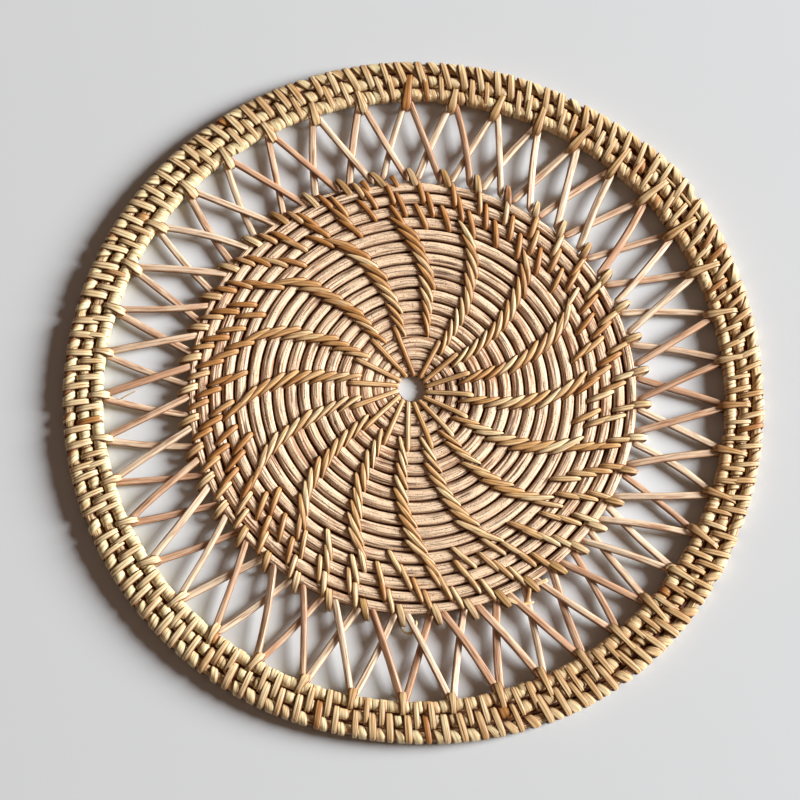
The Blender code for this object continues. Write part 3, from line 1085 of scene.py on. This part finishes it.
class PLACEMAT_OT_rim(PieceOperator, bpy.types.Operator):
    """Coil the rim and bind its three rounds together"""
    bl_idname = "placemat.rim"
    bl_label = "Rim"

    def execute(self, context):
        mat = context.scene.placemat
        rim, colours = mat.rim, mat.colours
        random = np.random.default_rng(14)
        cores = [rim_core(rim, radius, random) for radius in rim_rounds(rim)]
        reed = reed_finish("rim_reed", colours.rim_tan, colours.reed_tan, colours.brown, colours.crease)
        finish_piece(weave("rim_reed", cores, reed_section(14, 2)), reed, "rim_coil")
        # dark strands down in the creases between the rim's rounds: painted shade
        crease_shades = [rim_crease_shade(rim, rim.inner + share * (rim.outer - rim.inner) / 3) for share in (1, 2)]
        seam = weave("rim_seams", crease_shades, reed_section(4, 1))
        finish_piece(seam, crease_shade_finish("rim_crease_shade", colours), "rim_coil")
        cane = cane_finish("rim_cane", colours, colours.rim_gold, colours.straw, colours.ripe)
        wrap_cane = cane_finish("wrap_cane", colours, colours.rim_tan, colours.rim_light, colours.ripe, 0.5)
        # the rust turns' sides take the crease shade colour as their painted shade
        rust_cane = cane_finish("rust_cane", colours, colours.rust, colours.rust, colours.brown, 0.7,
                                colours.seam)
        first, second, third = rim_rounds(rim)
        half = (rim.outer - rim.inner) / 6
        inner = inner_angles(mat.lattice)
        loops = [node_angle(mat.lattice, number) for number in range(mat.lattice.nodes)]
        outer = list(outer_angles(rim, inner + loops))
        wraps = np.arange(rim.wraps) * TURN / rim.wraps
        gaps = [(here + after) / 2 for here, after in zip(outer, outer[1:] + [outer[0] + TURN])]
        rust = [gap - math.radians(0.75) for gap in gaps if ripe_spot("rust_wraps", gap) > 0.5]
        slack = 0.75 * MM
        rows = (
            ("outer_row", cane, outer, second - half + 0.4 * MM, third + half - 0.2 * MM),
            ("inner_row", cane, inner, first - half + slack, second + half),
            ("outer_wraps", wrap_cane, gaps, third - half + slack, third + half - 0.3 * MM),
            ("rust_wraps", rust_cane, rust, third - half + 1.6 * MM, third + half - 0.3 * MM),
            ("middle_wraps", wrap_cane, gaps, second - half + slack, second + half - slack),
            ("inner_wraps", wrap_cane, wraps, first - half + slack, first + half - slack),
        )
        for name, material, angles, low, high in rows:
            taper, groove = STITCH_SHAPE if material == cane else WRAP_SHAPE
            strands = rim_row(mat, name, angles, low, high, taper, random)
            finish_piece(weave(name, strands, split_section(groove)), material)
        return {"FINISHED"}


class PLACEMAT_OT_loose_ends(PieceOperator, bpy.types.Operator):
    """Leave the splices and stray ends of cane"""
    bl_idname = "placemat.loose_ends"
    bl_label = "Loose Ends"

    def execute(self, context):
        colours = context.scene.placemat.colours
        material = cane_finish("loose_cane", colours, colours.gold, colours.straw, colours.ripe, 0.5)
        ends = [loose_end(*row) for row in LOOSE_ENDS]
        finish_piece(weave("loose_ends", ends, strand_section()), material)
        return {"FINISHED"}


class PLACEMAT_OT_stage(PieceOperator, bpy.types.Operator):
    """Lay the floor, set the lights and place the camera"""
    bl_idname = "placemat.stage"
    bl_label = "Stage"

    def execute(self, context):
        mat = context.scene.placemat
        self.floor(context, mat.stage, mat.colours)
        self.camera(context, mat.stage)
        self.lights(context, mat.stage, mat.colours)
        context.scene.view_settings.view_transform = "Standard"
        return {"FINISHED"}

    def floor(self, context, sizes, colours):
        shape = bmesh.new()
        bmesh.ops.create_grid(shape, x_segments=2, y_segments=2, size=sizes.floor / 2)
        mesh = bpy.data.meshes.new("floor")
        shape.to_mesh(mesh)
        shape.free()
        mesh.materials.append(floor_finish("floor", tuple(colours.floor)))
        floor = bpy.data.objects.new("floor", mesh)
        context.scene.collection.objects.link(floor)
        floor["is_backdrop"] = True

    def camera(self, context, sizes):
        lens = bpy.data.cameras.new("camera")
        lens.lens = sizes.lens
        lens.clip_start = 0.01
        camera = bpy.data.objects.new("camera", lens)
        context.scene.collection.objects.link(camera)
        away = Vector(around(sizes.azimuth, math.sin(sizes.tilt), math.cos(sizes.tilt)))
        right = Vector((0, 1, 0)).cross(away).normalized()
        turned = Matrix((right, away.cross(right), away)).transposed().to_4x4()
        aim = Vector((sizes.aim_x, sizes.aim_y, 0.0))
        camera.matrix_world = Matrix.Translation(aim + away * sizes.distance) @ turned
        context.scene.camera = camera

    def lights(self, context, sizes, colours):
        lamp = bpy.data.lights.new("window", "AREA")
        lamp.energy = sizes.light_power
        lamp.shape = "DISK"
        lamp.size = sizes.light_size
        away = Vector(around(sizes.light_azimuth, math.cos(sizes.light_height), math.sin(sizes.light_height)))
        holder = bpy.data.objects.new("window", lamp)
        holder.location = away * sizes.light_distance
        holder.rotation_mode = "QUATERNION"
        holder.rotation_quaternion = away.to_track_quat("Z", "Y")
        context.scene.collection.objects.link(holder)
        world = bpy.data.worlds.new("studio")
        world.use_nodes = True
        background = world.node_tree.nodes["Background"]
        background.inputs["Color"].default_value = (*colours.fill, 1.0)
        background.inputs["Strength"].default_value = sizes.fill
        context.scene.world = world


class Placemat(bpy.types.PropertyGroup):
    disc: PointerProperty(type=DiscSizes)
    lattice: PointerProperty(type=LatticeSizes)
    rim: PointerProperty(type=RimSizes)
    colours: PointerProperty(type=CaneColours)
    stage: PointerProperty(type=StageSizes)


OPERATORS = (
    PLACEMAT_OT_stage,
    PLACEMAT_OT_disc_reed,
    PLACEMAT_OT_disc_stitches,
    PLACEMAT_OT_lattice,
    PLACEMAT_OT_rim,
    PLACEMAT_OT_loose_ends,
)


class PLACEMAT_PT_panel(bpy.types.Panel):
    """The placemat's pieces, in the order in which they are made"""
    bl_idname = "PLACEMAT_PT_panel"
    bl_label = "Cane Placemat"
    bl_space_type = "VIEW_3D"
    bl_region_type = "UI"
    bl_category = "Placemat"

    def draw(self, context):
        for operator in OPERATORS:
            self.layout.operator(operator.bl_idname)


CLASSES = (DiscSizes, LatticeSizes, RimSizes, CaneColours, StageSizes, Placemat) + OPERATORS + (
    PLACEMAT_PT_panel,
)


def register():
    for item in CLASSES:
        bpy.utils.register_class(item)
    bpy.types.Scene.placemat = PointerProperty(type=Placemat)


def unregister():
    del bpy.types.Scene.placemat
    for item in reversed(CLASSES):
        bpy.utils.unregister_class(item)


def main():
    register()
    for operator in OPERATORS:
        group, name = operator.bl_idname.split(".")
        getattr(getattr(bpy.ops, group), name)()
    boxes = {"solids": SOLID_BOX, "visual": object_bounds()}
    {name: [list(map(float, corner)) for corner in box] for name, box in boxes.items()}


if __name__ == "__main__":
    main()
